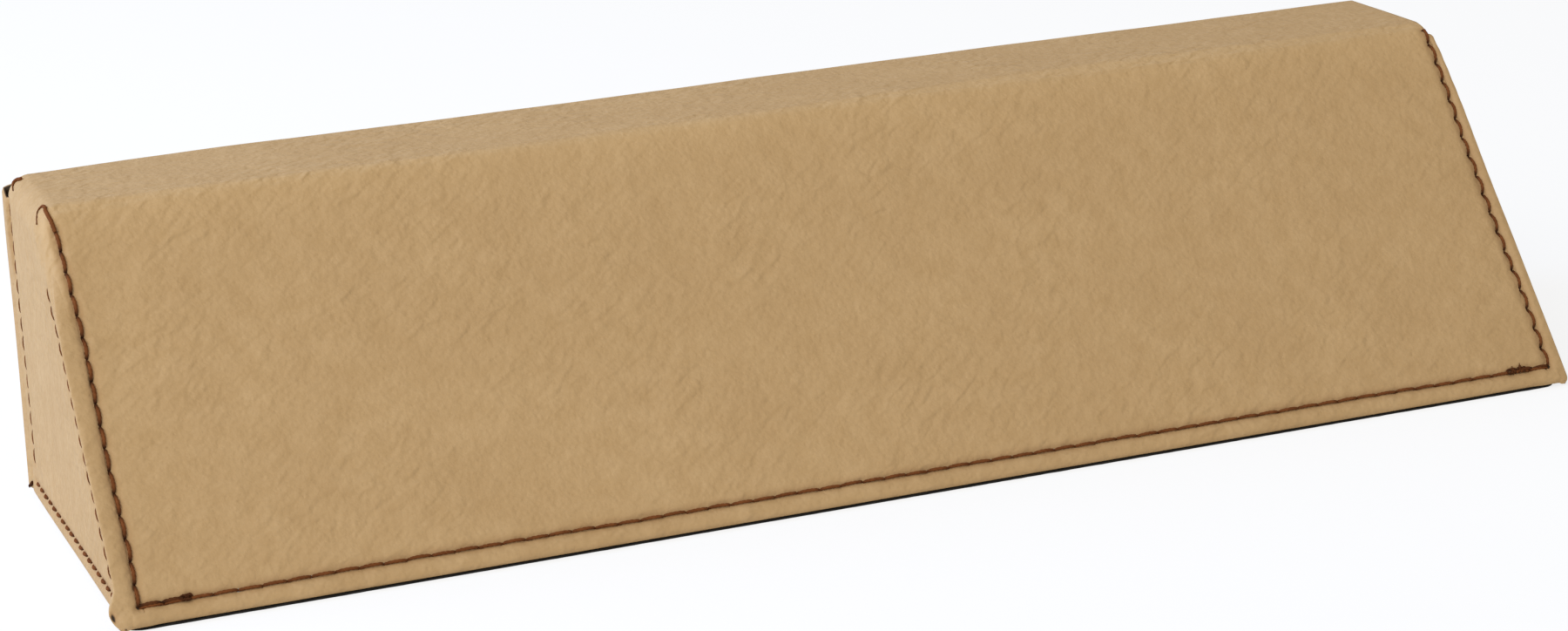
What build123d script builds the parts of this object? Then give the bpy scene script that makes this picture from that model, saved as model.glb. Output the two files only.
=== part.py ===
"""Desk name plate: a hollow wedge of stiffener boards in one sewn leatherette cover, on a felted base.

The cover is one cross-shaped sheet. It bends over the top into a sloping front, an upright back and two
ends, which are sewn together along four hollow corner welts. Its lower margins are folded round the
boards, turned up inside and hemmed, and a felted base board closes the foot.

X runs along the plate, the front faces -Y and +Z is up. The origin is under the middle of the base.
Lengths are in millimetres.
"""

import os
from math import atan2, cos, pi, sin, sqrt, tan

from build123d import *

# The wedge
LENGTH = 266.7  # over the two end faces
BASE_DEPTH = 76.2  # front to back at the foot of the cover
TOP_DEPTH = 28.6  # front to back over the top face
COVER_HEIGHT = 57.0  # from the foot of the cover to the top face

# The leatherette cover
LEATHER = 1.0  # thickness of the sheet
TOP_BEND = 2.5  # outside of the bends round the top face
CORNER_RADIUS = 5.0  # outside of the corners under the welts
FOLD_RADIUS = 1.2  # outside of the fold at the foot
TURN_IN = 10.0  # height of the margin turned up inside

# The corner welts, where the front or back wraps over the edge of an end
WELT_RADIUS = 1.9  # outside of the rolled fold
WELT_RISE = 0.6  # how far it stands proud of the faces
WELT_TOP_GAP = 2.0  # from its open upper end to the level of the top face
WELT_LAP = 1.0  # how much further its margin laps over an end than over the front or back

# The stiffener boards and the base
BOARD = 2.0  # thickness of the five boards in the cover
BOARD_GAP = 0.5  # between a board's edge and the bend beside it
BASE_BOARD = 0.8  # thickness of the board that closes the foot
FELT = 0.4  # thickness of the felt under it
BASE_INSET = 3.0  # from the foot of the cover to the edge of the base
BASE_CORNER = 3.0  # corner radius of the base in plan

# The seams
STITCH = 4.0  # nominal length of one stitch
THREAD = 0.45  # half thickness of a stitch at its middle
THREAD_NECK = 0.18  # half thickness where it goes down into its hole
HIDDEN_THREAD = 0.3  # half thickness of the bobbin thread inside a hem
SEAM_SINK = 0.3  # how far the thread pulls the leatherette down
CHANNEL_PLAY = 0.05  # between a thread and the side of its channel
HEM_HEIGHT = 3.0  # from the foot of the cover to a hem's stitches

# Worked out from the sizes above
SLOPE = atan2(COVER_HEIGHT, BASE_DEPTH - TOP_DEPTH)  # of the front, from the horizontal
FOOT = FELT + BASE_BOARD  # height of the foot of the cover
TOP = FOOT + COVER_HEIGHT
BACK = BASE_DEPTH / 2
HALF = LENGTH / 2
LINED = LEATHER + BOARD  # from the outside of the cover to the inside of its boards
CHANNEL = THREAD + CHANNEL_PLAY  # half width of a seam's channel
FRONT_NORMAL = Vector(0, -sin(SLOPE), cos(SLOPE))
WELT_IN = WELT_RADIUS - WELT_RISE  # from the two faces at a corner to the middle of its welt
FACE_SEAM = WELT_IN + sqrt(WELT_RADIUS**2 - WELT_IN**2) + CHANNEL  # from a corner, on the front or back
END_SEAM = FACE_SEAM + WELT_LAP  # from a corner, on an end


def front_y(height, inset=0.0):
    """Where the front face, or a plane inset behind it, stands at a height above the floor."""
    return -BASE_DEPTH / 2 + (height - FOOT) / tan(SLOPE) + inset / sin(SLOPE)


def bend_drop(distance):
    """How far a rounded corner has fallen below the flat face at a distance from the corner."""
    return CORNER_RADIUS - sqrt(CORNER_RADIUS**2 - max(CORNER_RADIUS - distance, 0.0) ** 2)


# Solids that several pieces share


def wedge(inset, low, high):
    """A sharp-edged wedge inset within the cover's front, back and ends, between two heights."""
    section = Polyline(
        (front_y(low, inset), low),
        (front_y(high, inset), high),
        (BACK - inset, high),
        (BACK - inset, low),
        close=True,
    )
    return extrude(Plane.YZ * make_face(section), amount=HALF - inset, both=True)


def bent_wedge(inset, low):
    """The wedge inset within the cover, up to the top, with its edges rounded as the sheet bends."""
    body = wedge(inset, low, TOP - inset)
    body = fillet(body.edges().group_by(Axis.Z)[1], CORNER_RADIUS - inset)
    return fillet(body.faces().sort_by(Axis.Z)[-1].edges(), TOP_BEND - inset)


# The corners. In a corner's own frame x runs out past the end face, y out past the front or back
# face and z up along the edge where the two faces would meet, from the foot of the cover.
FRONT_LEFT = Plane(
    origin=(-HALF, -BASE_DEPTH / 2, FOOT), x_dir=(-1, 0, 0), z_dir=(0, cos(SLOPE), sin(SLOPE))
)
BACK_RIGHT = Plane(origin=(HALF, BACK, FOOT), x_dir=(1, 0, 0), z_dir=(0, 0, 1))


def climb(corner, height, v=0.0):
    """How far up a corner a point at depth v reaches a height above the foot."""
    return (height - v * corner.y_dir.Z) / corner.z_dir.Z


def face_bend(corner):
    """How much of the face below the top edge belongs to the bend over the top."""
    turn = SLOPE if corner is FRONT_LEFT else pi / 2
    return TOP_BEND * tan(turn / 2)


def welt(corner, outline):
    """The hollow fold of leatherette along a corner, open at both ends."""
    rise = climb(corner, COVER_HEIGHT) - WELT_TOP_GAP
    fold = Pos(-WELT_IN, -WELT_IN) * (Circle(WELT_RADIUS) - Circle(WELT_RADIUS - LEATHER))
    below = 2 * WELT_RADIUS
    tube = extrude(corner.offset(-below) * fold, amount=rise + below)
    return split(tube, bisect_by=Plane.XY.offset(FOOT), keep=Keep.TOP) - outline


# The seams. A run is a frame whose x runs along the stitches and whose z points out of the
# leatherette, with its origin on the floor of the channel, and the length of the stitching.


def face_run(corner):
    """The corner seam as the front or back shows it."""
    floor = -bend_drop(FACE_SEAM) - SEAM_SINK
    start = climb(corner, HEM_HEIGHT) + 2 * CHANNEL
    end = climb(corner, COVER_HEIGHT) - face_bend(corner)
    origin = corner.from_local_coords((-FACE_SEAM, floor, start))
    return Plane(origin=origin, x_dir=corner.z_dir, z_dir=corner.y_dir), end - start


def end_run(corner):
    """The same seam as the end shows it."""
    floor = -bend_drop(END_SEAM) - SEAM_SINK
    start = climb(corner, HEM_HEIGHT, -END_SEAM) + 2 * CHANNEL
    end = climb(corner, COVER_HEIGHT - TOP_BEND, -END_SEAM)
    origin = corner.from_local_coords((floor, -END_SEAM, start))
    return Plane(origin=origin, x_dir=corner.z_dir, z_dir=corner.x_dir), end - start


def front_hem_run(depth=SEAM_SINK, from_end=FACE_SEAM):
    """The hem along the foot of the front, on a plane at some depth behind its face."""
    height = FOOT + HEM_HEIGHT
    origin = (from_end - HALF, front_y(height, depth), height)
    return Plane(origin=origin, x_dir=(1, 0, 0), z_dir=FRONT_NORMAL), LENGTH - 2 * from_end


def back_hem_run(depth=SEAM_SINK, from_end=FACE_SEAM):
    """The hem along the foot of the back."""
    origin = (HALF - from_end, BACK - depth, FOOT + HEM_HEIGHT)
    return Plane(origin=origin, x_dir=(-1, 0, 0), z_dir=(0, 1, 0)), LENGTH - 2 * from_end


def end_hem_run(depth=SEAM_SINK, from_face=END_SEAM):
    """The hem along the foot of the left end, from the back seam to the front seam."""
    height = FOOT + HEM_HEIGHT
    origin = (depth - HALF, BACK - from_face, height)
    run = BACK - from_face - front_y(height, from_face)
    return Plane(origin=origin, x_dir=(0, -1, 0), z_dir=(-1, 0, 0)), run


def stitches(run):
    """One thread along a run: a swelling for each stitch, flat underneath, drawn in at each hole."""
    frame, length = run
    count = max(round(length / STITCH), 1)
    pitch = length / count
    taper = pitch / 4
    edge = [(0, THREAD_NECK)]
    for i in range(count):
        start, end = i * pitch, (i + 1) * pitch
        edge += [(start + taper, THREAD), (end - taper, THREAD), (end, THREAD_NECK)]
    other_edge = [(x, -y) for x, y in reversed(edge)]
    beside = make_face(Polyline((0, 0), *edge, (length, 0), close=True))
    above = make_face(Polyline(*edge, *other_edge, close=True))
    rise = extrude(Plane.XZ * beside, amount=THREAD, both=True)
    return frame * (rise & extrude(above, amount=THREAD))


def straight_thread(run):
    """A thread that lies straight along a run, flat where it is drawn against the leatherette."""
    frame, length = run
    half = Circle(HIDDEN_THREAD) - Pos(0, -HIDDEN_THREAD) * Rectangle(2 * HIDDEN_THREAD, 2 * HIDDEN_THREAD)
    across = Plane(origin=frame.origin, x_dir=frame.y_dir, z_dir=frame.x_dir)
    return extrude(across * half, amount=length)


def channel(run):
    """The groove that a seam draws into the leatherette, wide enough for its thread."""
    frame, length = run
    groove = Pos(length / 2, 0, CORNER_RADIUS / 2) * Box(length + 2 * CHANNEL, 2 * CHANNEL, CORNER_RADIUS)
    return frame * groove


def flipped(run):
    """A run on the same line, facing the other way."""
    frame, length = run
    return Plane(origin=frame.origin, x_dir=frame.x_dir, z_dir=-frame.z_dir), length


def mirrored(shape):
    return mirror(shape, about=Plane.YZ)


# The pieces


def leatherette_cover():
    outline = bent_wedge(0, FOOT)
    outline = fillet(outline.edges().group_by(Axis.Z)[0], FOLD_RADIUS)
    inside = bent_wedge(LEATHER, FOOT - FOLD_RADIUS)
    room = wedge(LINED + LEATHER, FOOT - FOLD_RADIUS, FOOT + TURN_IN + FOLD_RADIUS)
    fold = split(outline, bisect_by=Plane.XY.offset(FOOT + LEATHER), keep=Keep.BOTTOM) - room
    margin = wedge(LINED, FOOT + FOLD_RADIUS / 2, FOOT + TURN_IN) - room
    cover = outline - inside + fold + margin
    for corner in (FRONT_LEFT, BACK_RIGHT):
        ridge = welt(corner, outline)
        cover = cover + ridge + mirrored(ridge)
    runs = [front_hem_run(), back_hem_run(), end_hem_run()]
    for corner in (FRONT_LEFT, BACK_RIGHT):
        runs += [face_run(corner), end_run(corner)]
    for run in runs:
        groove = channel(run)
        cover = cover - groove - mirrored(groove)
    return cover


def front_board():
    """A board behind the front, its lower edge cut level to stand in the fold of the hem."""
    low = FOOT + LEATHER
    height = TOP - LEATHER
    trim = face_bend(FRONT_LEFT) + BOARD_GAP
    corner = Vector(0, front_y(TOP), TOP)
    down = Vector(0, -cos(SLOPE), -sin(SLOPE))
    upper_outer = corner + down * trim - FRONT_NORMAL * LEATHER
    upper_inner = corner + down * trim - FRONT_NORMAL * LINED
    section = Polyline(
        (front_y(low, LEATHER), low),
        (upper_outer.Y, min(upper_outer.Z, height)),
        (upper_inner.Y, min(upper_inner.Z, height)),
        (front_y(low, LINED), low),
        close=True,
    )
    return extrude(Plane.YZ * make_face(section), amount=HALF - CORNER_RADIUS - BOARD_GAP, both=True)


def back_board():
    low = FOOT + LEATHER
    high = TOP - TOP_BEND - BOARD_GAP
    size = (LENGTH - 2 * (CORNER_RADIUS + BOARD_GAP), BOARD, high - low)
    return Pos(0, BACK - LEATHER - BOARD / 2, (low + high) / 2) * Box(*size)


def top_board():
    """A board under the top, clear of its bends and of the boards behind the front and back."""
    front = max(front_y(TOP) + face_bend(FRONT_LEFT), front_y(TOP - LINED, LINED)) + BOARD_GAP
    back = BACK - max(TOP_BEND, LINED) - BOARD_GAP
    size = (LENGTH - 2 * (CORNER_RADIUS + BOARD_GAP), back - front, BOARD)
    return Pos(0, (front + back) / 2, TOP - LEATHER - BOARD / 2) * Box(*size)


def left_end_board():
    """A trapezium board inside the left end, standing in the fold of the hem."""
    low = FOOT + LEATHER
    inset = CORNER_RADIUS + BOARD_GAP
    high = TOP - TOP_BEND - BOARD_GAP
    section = Polyline(
        (front_y(low, inset), low),
        (front_y(high, inset), high),
        (BACK - inset, high),
        (BACK - inset, low),
        close=True,
    )
    return Pos(LEATHER - HALF) * extrude(Plane.YZ * make_face(section), amount=BOARD)


def base_sheet(low, thickness):
    plan = RectangleRounded(LENGTH - 2 * BASE_INSET, BASE_DEPTH - 2 * BASE_INSET, BASE_CORNER)
    return extrude(Plane.XY.offset(low) * plan, amount=thickness)


def pieces():
    """Every piece by name."""
    inside = LINED + LEATHER
    hidden = (inside, inside + 2 * HIDDEN_THREAD)
    end_board = left_end_board()
    end_hem = stitches(end_hem_run())
    end_hem_bobbin = straight_thread(flipped(end_hem_run(*hidden)))
    made = {
        "leatherette_cover": leatherette_cover(),
        "front_board": front_board(),
        "top_board": top_board(),
        "back_board": back_board(),
        "left_end_board": end_board,
        "right_end_board": mirrored(end_board),
        "base_board": base_sheet(FELT, BASE_BOARD),
        "base_felt": base_sheet(0, FELT),
        "front_hem_thread": stitches(front_hem_run()),
        "front_hem_bobbin_thread": straight_thread(flipped(front_hem_run(*hidden))),
        "back_hem_thread": stitches(back_hem_run()),
        "back_hem_bobbin_thread": straight_thread(flipped(back_hem_run(*hidden))),
        "left_hem_thread": end_hem,
        "left_hem_bobbin_thread": end_hem_bobbin,
        "right_hem_thread": mirrored(end_hem),
        "right_hem_bobbin_thread": mirrored(end_hem_bobbin),
    }
    for face, corner, side, other in (
        ("front", FRONT_LEFT, "left", "right"),
        ("back", BACK_RIGHT, "right", "left"),
    ):
        for kind, run in (("thread", face_run(corner)), ("bobbin_thread", end_run(corner))):
            thread = stitches(run)
            made[f"{face}_{side}_seam_{kind}"] = thread
            made[f"{face}_{other}_seam_{kind}"] = mirrored(thread)
    return made


os.makedirs("parts", exist_ok=True)
for name, piece in pieces().items():
    export_step(piece, f"parts/{name}.step")
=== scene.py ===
from math import atan2, cos, pi, radians, sin, tan

import bpy
import numpy as np
from mathutils import Matrix, Vector


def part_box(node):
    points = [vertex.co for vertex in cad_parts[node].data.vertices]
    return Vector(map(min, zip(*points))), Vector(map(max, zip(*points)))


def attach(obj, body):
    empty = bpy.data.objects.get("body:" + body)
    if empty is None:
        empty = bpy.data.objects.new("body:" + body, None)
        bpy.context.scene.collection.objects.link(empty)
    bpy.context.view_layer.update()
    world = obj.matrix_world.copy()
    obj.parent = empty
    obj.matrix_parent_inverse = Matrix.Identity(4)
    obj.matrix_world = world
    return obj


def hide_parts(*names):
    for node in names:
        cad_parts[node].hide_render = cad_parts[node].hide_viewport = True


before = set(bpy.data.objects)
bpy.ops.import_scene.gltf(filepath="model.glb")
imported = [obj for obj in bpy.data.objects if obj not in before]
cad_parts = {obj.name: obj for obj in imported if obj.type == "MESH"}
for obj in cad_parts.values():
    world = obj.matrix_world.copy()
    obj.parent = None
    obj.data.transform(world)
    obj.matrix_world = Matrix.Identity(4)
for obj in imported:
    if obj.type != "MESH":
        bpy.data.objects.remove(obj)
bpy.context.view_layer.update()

# Lengths are in millimetres here, and become metres when a mesh is made.
MM = 0.001


def span(node):
    """The low and high corners of a CAD node's box."""
    low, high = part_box(node)
    return np.array(low) / MM, np.array(high) / MM


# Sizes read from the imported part
cover_low, cover_high = span("leatherette_cover")
felt_low, felt_high = span("base_felt")
seam_low, seam_high = span("front_left_seam_thread")
hem_low, hem_high = span("left_hem_thread")
BASE_INSET = 3.0  # from the foot of the cover to the edge of the base
SAG = 0.7  # how far the folded margin hangs below the boards
HALF = felt_high[0] + BASE_INSET  # from the middle to an end
BACK = felt_high[1] + BASE_INSET  # from the middle to the back
FOOT = cover_low[2] - SAG
TOP = cover_high[2]
FACE_SEAM = HALF + (seam_low[0] + seam_high[0]) / 2  # from a corner, on the front or back
END_SEAM = BACK - hem_high[1]  # from a corner, on an end
HEM = (hem_low[2] + hem_high[2]) / 2 - cover_low[2]  # from the foot to a hem's stitches

# The sheet and its bends
TOP_DEPTH = 28.6
BEND = 2.2  # outside of the bends at the left
TIGHT_BEND = 1.0  # and at the right, where the sheet is drawn tighter
SOFT_BEND = 4.4  # and where the left end meets the top
SOFT_REACH = 24.0  # how far along from the left end the bends are soft
SOFT_DROP, SOFT_FADE = 17.0, 11.0  # where below the top they soften, and over what height
FOLD = 0.8  # outside of the fold at the foot
END_SINK = 0.6  # how far the ends lie behind the rolls along their edges
LEATHER = 0.7  # thickness of the sheet where it is rolled

# The crease on the top behind the front's upper edge, the sheet drawn over that edge, and a painted
# highlight along it
CREASE_X = (-HALF, 0, 60, HALF)
CREASE = (1.5, 2.2, 4.8, 3.8)  # how far behind the edge the crease is at these places
FALL = 0.2  # how far the sheet falls from the crease to the edge, per millimetre
FALL_DOWN, FALL_NEAR = 8.0, 2.5  # how far down the front it falls, and how near the front
HIGHLIGHT_DOWN, HIGHLIGHT_NEAR = 6.0, 2.0  # the same for the band of painted highlight
HIGHLIGHT_EDGE = 0.7  # how softly the painted highlight ends at the crease

# The right half of the top stands a little higher
RISE, RISE_DEPTH = 0.45, 6.0
RISE_FROM, RISE_OVER = -60.0, 150.0

HEIGHT = TOP - FOOT
SLOPE = atan2(HEIGHT, 2 * BACK - TOP_DEPTH)
ON_TOP = TOP - 1e-6  # what is higher lies on the top
FAR = 1e9  # longer than any face
TINY = 1e-12


def smooth(t):
    """From 0 to 1, with soft ends."""
    t = np.clip(t, 0, 1)
    return t * t * (3 - 2 * t)


def hump(t):
    """1 at 0, falling off softly on both sides."""
    return np.exp(-(t**2))


def unit(v):
    return v / (np.linalg.norm(v, axis=-1, keepdims=True) + TINY)


def front_y(z):
    return -BACK + (z - FOOT) / tan(SLOPE)


# The bent wedge


def bend_at(x, z):
    """The radius of the bends."""
    along = (x + HALF) / (2 * HALF)
    left = hump((x + HALF) / SOFT_REACH) * smooth((z - TOP + SOFT_DROP) / SOFT_FADE)
    bend = BEND + (TIGHT_BEND - BEND) * along
    return bend + (SOFT_BEND - bend) * left


def crease_at(x):
    """How far behind the front's upper edge the top is creased."""
    return np.interp(x, CREASE_X, CREASE)


def highlight_band_at(points):
    """How much painted highlight lies along the front's upper edge, where the sheet bends over it.
    """
    x, y, z = np.moveaxis(points, -1, 0)
    on_top = smooth((crease_at(x) - y + front_y(TOP)) / HIGHLIGHT_EDGE)
    on_front = np.exp(-(TOP - z) / sin(SLOPE) / HIGHLIGHT_DOWN) * hump((y - front_y(z)) / HIGHLIGHT_NEAR)
    return np.where(z > ON_TOP, on_top, on_front)


def fall_back(points):
    """How far the sheet falls back over the front's upper edge, from the crease down the front."""
    x, y, z = np.moveaxis(points, -1, 0)
    crease, behind, down = crease_at(x), y - front_y(TOP), (TOP - z) / sin(SLOPE)
    on_top = np.clip(1 - behind / crease, 0, 1)
    on_front = np.clip(1 - down / FALL_DOWN, 0, 1) ** 2 * hump((y - front_y(z)) / FALL_NEAR)
    return FALL * crease * np.where(z > ON_TOP, on_top, on_front)


def rounded(points):
    """Points of the sharp-edged wedge moved onto the wedge with bent edges, and their normals."""
    x, y, z = np.moveaxis(points, -1, 0)
    bend = bend_at(x, z)
    high = TOP - bend
    front = front_y(high) + bend / sin(SLOPE)
    back = BACK - bend

    def onto(start, along, longest):
        reach = np.clip((y - start[0]) * along[0] + (z - start[1]) * along[1], 0, longest)
        return start[0] + reach * along[0], start[1] + reach * along[1]

    # The nearest place on the core, which is the wedge made smaller by the bend on all sides
    core = np.stack([np.clip(x, bend - HALF, HALF - bend), y, z], axis=-1)
    inside = (y >= front_y(z) + bend / sin(SLOPE)) & (y <= back) & (z <= high)
    best = np.where(inside, 0.0, np.inf)
    for start, along, longest in (
        ((front, high), (-cos(SLOPE), -sin(SLOPE)), FAR),
        ((front, high), (1.0, 0.0), back - front),
        ((back, high), (0.0, -1.0), FAR),
    ):
        near_y, near_z = onto(start, along, longest)
        away = (y - near_y) ** 2 + (z - near_z) ** 2
        closer = away < best
        core[..., 1] = np.where(closer, near_y, core[..., 1])
        core[..., 2] = np.where(closer, near_z, core[..., 2])
        best = np.minimum(best, away)
    normals = unit(points - core)
    sink = END_SINK * np.abs(normals[..., 0]) + fall_back(points)
    place = core + (bend - sink)[..., None] * normals
    rise = RISE * smooth((x - RISE_FROM) / RISE_OVER)
    place[..., 2] += rise * smooth((z - TOP + RISE_DEPTH) / RISE_DEPTH)
    return place, normals


def through(points, steps):
    """A smooth line through points, with so many steps between each two."""
    points = np.asarray(points, float)
    t = np.linspace(0, len(points) - 1, steps * (len(points) - 1) + 1)
    k = np.clip(t.astype(int), 0, len(points) - 2)
    f = (t - k)[:, None]
    before, after = 2 * points[:1] - points[1:2], 2 * points[-1:] - points[-2:-1]
    padded = np.concatenate([before, points, after])
    a, b, c, d = (padded[k + i] for i in range(4))
    return b + 0.5 * f * (c - a + f * (2 * a - 5 * b + 4 * c - d + f * (3 * (b - c) + d - a)))


def evenly(length, values):
    """A smooth curve through values that lie evenly along a length, as places and values."""
    places = np.linspace(*length, len(values))
    return through(np.stack([places, values], axis=-1), 8).T


# Corners. u runs out past the end, v out past the front or back, and w up the edge from the foot.

# How the front's seams stray from their nominal distance to the corner, from the hem to the top
SWAY = {
    "front_left": (0.15, 0.43, 0.25, 0.52, 0.75, 0.58, 0.1),
    "front_right": (-0.9, -1.3, -1.05, -1.0, -1.15, -1.5, -1.6),
}
SEAM_STOP = 4.0  # how far below the top a seam on the front or back stops
SEAM_STOPS = {"front_right": -0.6}  # this one runs on over the edge


class Corner:
    def __init__(self, face, side):
        self.name = f"{face}_{'left' if side < 0 else 'right'}"
        self.face, self.side = face, side
        self.front = face == "front"
        self.u = np.array([side, 0.0, 0.0])
        if self.front:
            self.v = np.array([0.0, -sin(SLOPE), cos(SLOPE)])
            self.w = np.array([0.0, cos(SLOPE), sin(SLOPE)])
        else:
            self.v = np.array([0.0, 1.0, 0.0])
            self.w = np.array([0.0, 0.0, 1.0])
        self.foot = np.array([side * HALF, -BACK if self.front else BACK, FOOT])
        self.seam_low = self.climb(HEM)
        self.seam_high = self.climb(HEIGHT) - SEAM_STOPS.get(self.name, SEAM_STOP)
        self.sway = evenly((self.seam_low, self.seam_high), SWAY.get(self.name, (0.0, 0.0)))

    def at(self, u, v, w):
        u, v, w = (np.asarray(a, float)[..., None] for a in (u, v, w))
        return self.foot + u * self.u + v * self.v + w * self.w

    def climb(self, height, v=0.0):
        """How far up the corner a point at depth v reaches a height above the foot."""
        return (height - v * self.v[2]) / self.w[2]

    def seam_away(self, w):
        """How far from the corner the stitches on the front or back run."""
        return FACE_SEAM + np.interp(w, *self.sway)


CORNERS = [Corner(face, side) for face in ("front", "back") for side in (-1, 1)]


# Seams. A seam is a row of stitches, with the way it runs, out of the surface and across.

STITCH, END_STITCH, END_HEM_STITCH = 4.0, 3.3, 3.6
VALLEY, VALLEY_WIDTH = 0.36, 0.85  # how far a seam is drawn in, and over what width
PUCKER = 0.26  # how far its needle holes are drawn in
PUCKER_WIDTH, PUCKER_LENGTH = 0.7, 0.6
PILLOW, PILLOW_AWAY, PILLOW_WIDTH = 0.3, 1.4, 0.8  # the swell beside each stitch, per pucker
# Painted shade beside a seam: how wide it is, and how strong per pucker
SEAM_SHADE_WIDTH, SEAM_SHADE_BY_PUCKER = 0.95, 4
END_HEM_VALLEY = 0.2
END_VALLEY_WIDTH, END_PUCKER = 1.3, 0.1
# The dashes on an end: how deep they lie, how much deeper at the top, and where they stop below it
END_DASHES = {"front": (0.15, 0.0, 12.0), "back": (0.22, 0.5, 4.0)}
END_START = 3.0  # how far above the hem the dashes start
HEM_RISE = (0.0, 0.42, 0.38, 0.42, 0.38, 0.35, 0.28, 0.0)  # how the front's hem strays upwards


class Seam:
    def __init__(
        self, name, start, end, out, stitch=STITCH, valley=VALLEY,
        width=VALLEY_WIDTH, pucker=PUCKER, deeper=0.0, aside=None,
    ):
        self.name = name
        self.start = np.array(start, float)
        self.out = np.array(out, float)
        run = np.array(end, float) - self.start
        self.length = float(np.linalg.norm(run))
        self.along = run / self.length
        self.across = np.cross(self.out, self.along)
        self.count = max(round(self.length / stitch), 1)
        self.pitch = self.length / self.count
        self.valley, self.width, self.pucker, self.deeper = valley, width, pucker, deeper
        self.aside = aside

    def line(self, along, across=0.0):
        """Where the seam runs on the bent wedge, and the normals there."""
        along = np.asarray(along, float)
        across = np.asarray(across + (self.aside(along) if self.aside else 0 * along), float)
        flat = self.start + along[..., None] * self.along + across[..., None] * self.across
        return rounded(flat)

    def depth(self, along):
        """How deep the seam is drawn in."""
        return self.valley * (1 + self.deeper * smooth(2 * along / self.length - 1))

    def at(self, along, across, out):
        """Places over the bottom of the seam."""
        place, normal = self.line(along, across)
        out = uneven(place) + out - self.depth(np.asarray(along, float))
        return place + out[..., None] * normal


def face_seam(corner):
    ends = (corner.at(-FACE_SEAM, 0, w) for w in (corner.seam_low, corner.seam_high))
    inward = corner.side * (1 if corner.front else -1)

    def aside(along):
        return inward * (corner.seam_away(corner.seam_low + along) - FACE_SEAM)

    return Seam(corner.name + "_seam_thread", *ends, corner.v, aside=aside)


def end_seam(corner):
    valley, deeper, stop = END_DASHES[corner.face]
    low = corner.climb(HEM, -END_SEAM) + END_START
    high = corner.climb(HEIGHT - stop, -END_SEAM)
    ends = (corner.at(0, -END_SEAM, w) for w in (low, high))
    return Seam(
        corner.name + "_seam_bobbin_thread", *ends, corner.u, END_STITCH, valley,
        END_VALLEY_WIDTH, END_PUCKER, deeper,
    )


def hem_seams():
    z = FOOT + HEM
    left, right = (
        corner.side * (HALF - corner.seam_away(corner.seam_low)) for corner in CORNERS[:2]
    )
    x = HALF - FACE_SEAM
    front = front_y(z)
    near, far = front + END_SEAM / sin(SLOPE), BACK - END_SEAM
    front_out = (0, -sin(SLOPE), cos(SLOPE))
    rise = evenly((0, right - left), HEM_RISE)
    end = (END_HEM_STITCH, END_HEM_VALLEY)

    def aside(along):
        return np.interp(along, *rise)

    return [
        Seam("front_hem_thread", (left, front, z), (right, front, z), front_out, aside=aside),
        Seam("back_hem_thread", (x, BACK, z), (-x, BACK, z), (0, 1, 0)),
        Seam("left_hem_thread", (-HALF, far, z), (-HALF, near, z), (-1, 0, 0), *end),
        Seam("right_hem_thread", (HALF, near, z), (HALF, far, z), (1, 0, 0), *end),
    ]


FACE_SEAMS = [face_seam(corner) for corner in CORNERS]
END_SEAMS = [end_seam(corner) for corner in CORNERS]
HEM_SEAMS = hem_seams()
SEAMS = FACE_SEAMS + END_SEAMS + HEM_SEAMS


def sewn(points, share=1.0):
    """How far the sewing moves the surface out at each point, and how much painted shade it gets
    near a seam.
    """
    move = np.zeros(points.shape[:-1])
    near_seam = np.zeros(points.shape[:-1])
    for seam in SEAMS:
        along = np.clip((points - seam.start) @ seam.along, 0, seam.length)
        away = np.linalg.norm(points - seam.line(along)[0], axis=-1)
        step = along / seam.pitch
        hole = (step - np.round(step)) * seam.pitch
        between = np.sin(pi * step) ** 2
        move -= share * seam.depth(along) * hump(away / seam.width)
        move -= seam.pucker * np.exp(-((away / PUCKER_WIDTH) ** 2) - (hole / PUCKER_LENGTH) ** 2)
        move += PILLOW * seam.pucker * between * hump((away - PILLOW_AWAY) / PILLOW_WIDTH)
        # Painted shade beside the seam, stronger where it puckers more
        seam_shade = min(1.0, SEAM_SHADE_BY_PUCKER * seam.pucker) * hump(away / SEAM_SHADE_WIDTH)
        near_seam = np.maximum(near_seam, seam_shade)
    return move, near_seam


SWELL, RIPPLE = 0.09, 0.035  # how far the sheet swells out slowly and quickly
HEM_SWELL = 0.16  # how far the folded margin under the hem stands out
CORNER_SWELL = 0.4  # and how much further where it meets the rolls
CORNER_REACH, CORNER_FADE = 7.0, 3.0
HEM_ABOVE, HEM_FADE = 0.6, 1.2


def uneven(points):
    """The slow swells of a sheet glued over boards, as waves in radians per millimetre."""
    x, y, z = np.moveaxis(points, -1, 0)
    slow = np.sin(0.047 * x + 0.6) * np.sin(0.11 * z + 0.05 * y + 0.4)
    quick = np.sin(0.19 * x + 0.13 * y + 1.9) * np.sin(0.23 * z - 0.07 * x + 0.8)
    return SWELL * slow + RIPPLE * quick


def hem_swell(points, directions):
    """The folded margin stands out under the hem's stitches, and meets the rolls at the corners."""
    x, _, z = np.moveaxis(points, -1, 0)
    margin = HEM_SWELL * np.sin(pi * np.clip((z - FOOT) / HEM, 0, 1))
    from_end = HALF - np.abs(x)
    corner = smooth((CORNER_REACH - from_end) / CORNER_FADE) * (1 - directions[..., 0] ** 2)
    return margin + CORNER_SWELL * corner * smooth((FOOT + HEM + HEM_ABOVE - z) / HEM_FADE)


# Meshes


def weld(points, faces, values):
    """Vertices in the same place become one."""
    keys = np.round(points, 4)
    _, first, back = np.unique(keys, axis=0, return_index=True, return_inverse=True)
    back = back.reshape(-1)
    return points[first], [back[np.asarray(f)] for f in faces], values[first]


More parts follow.
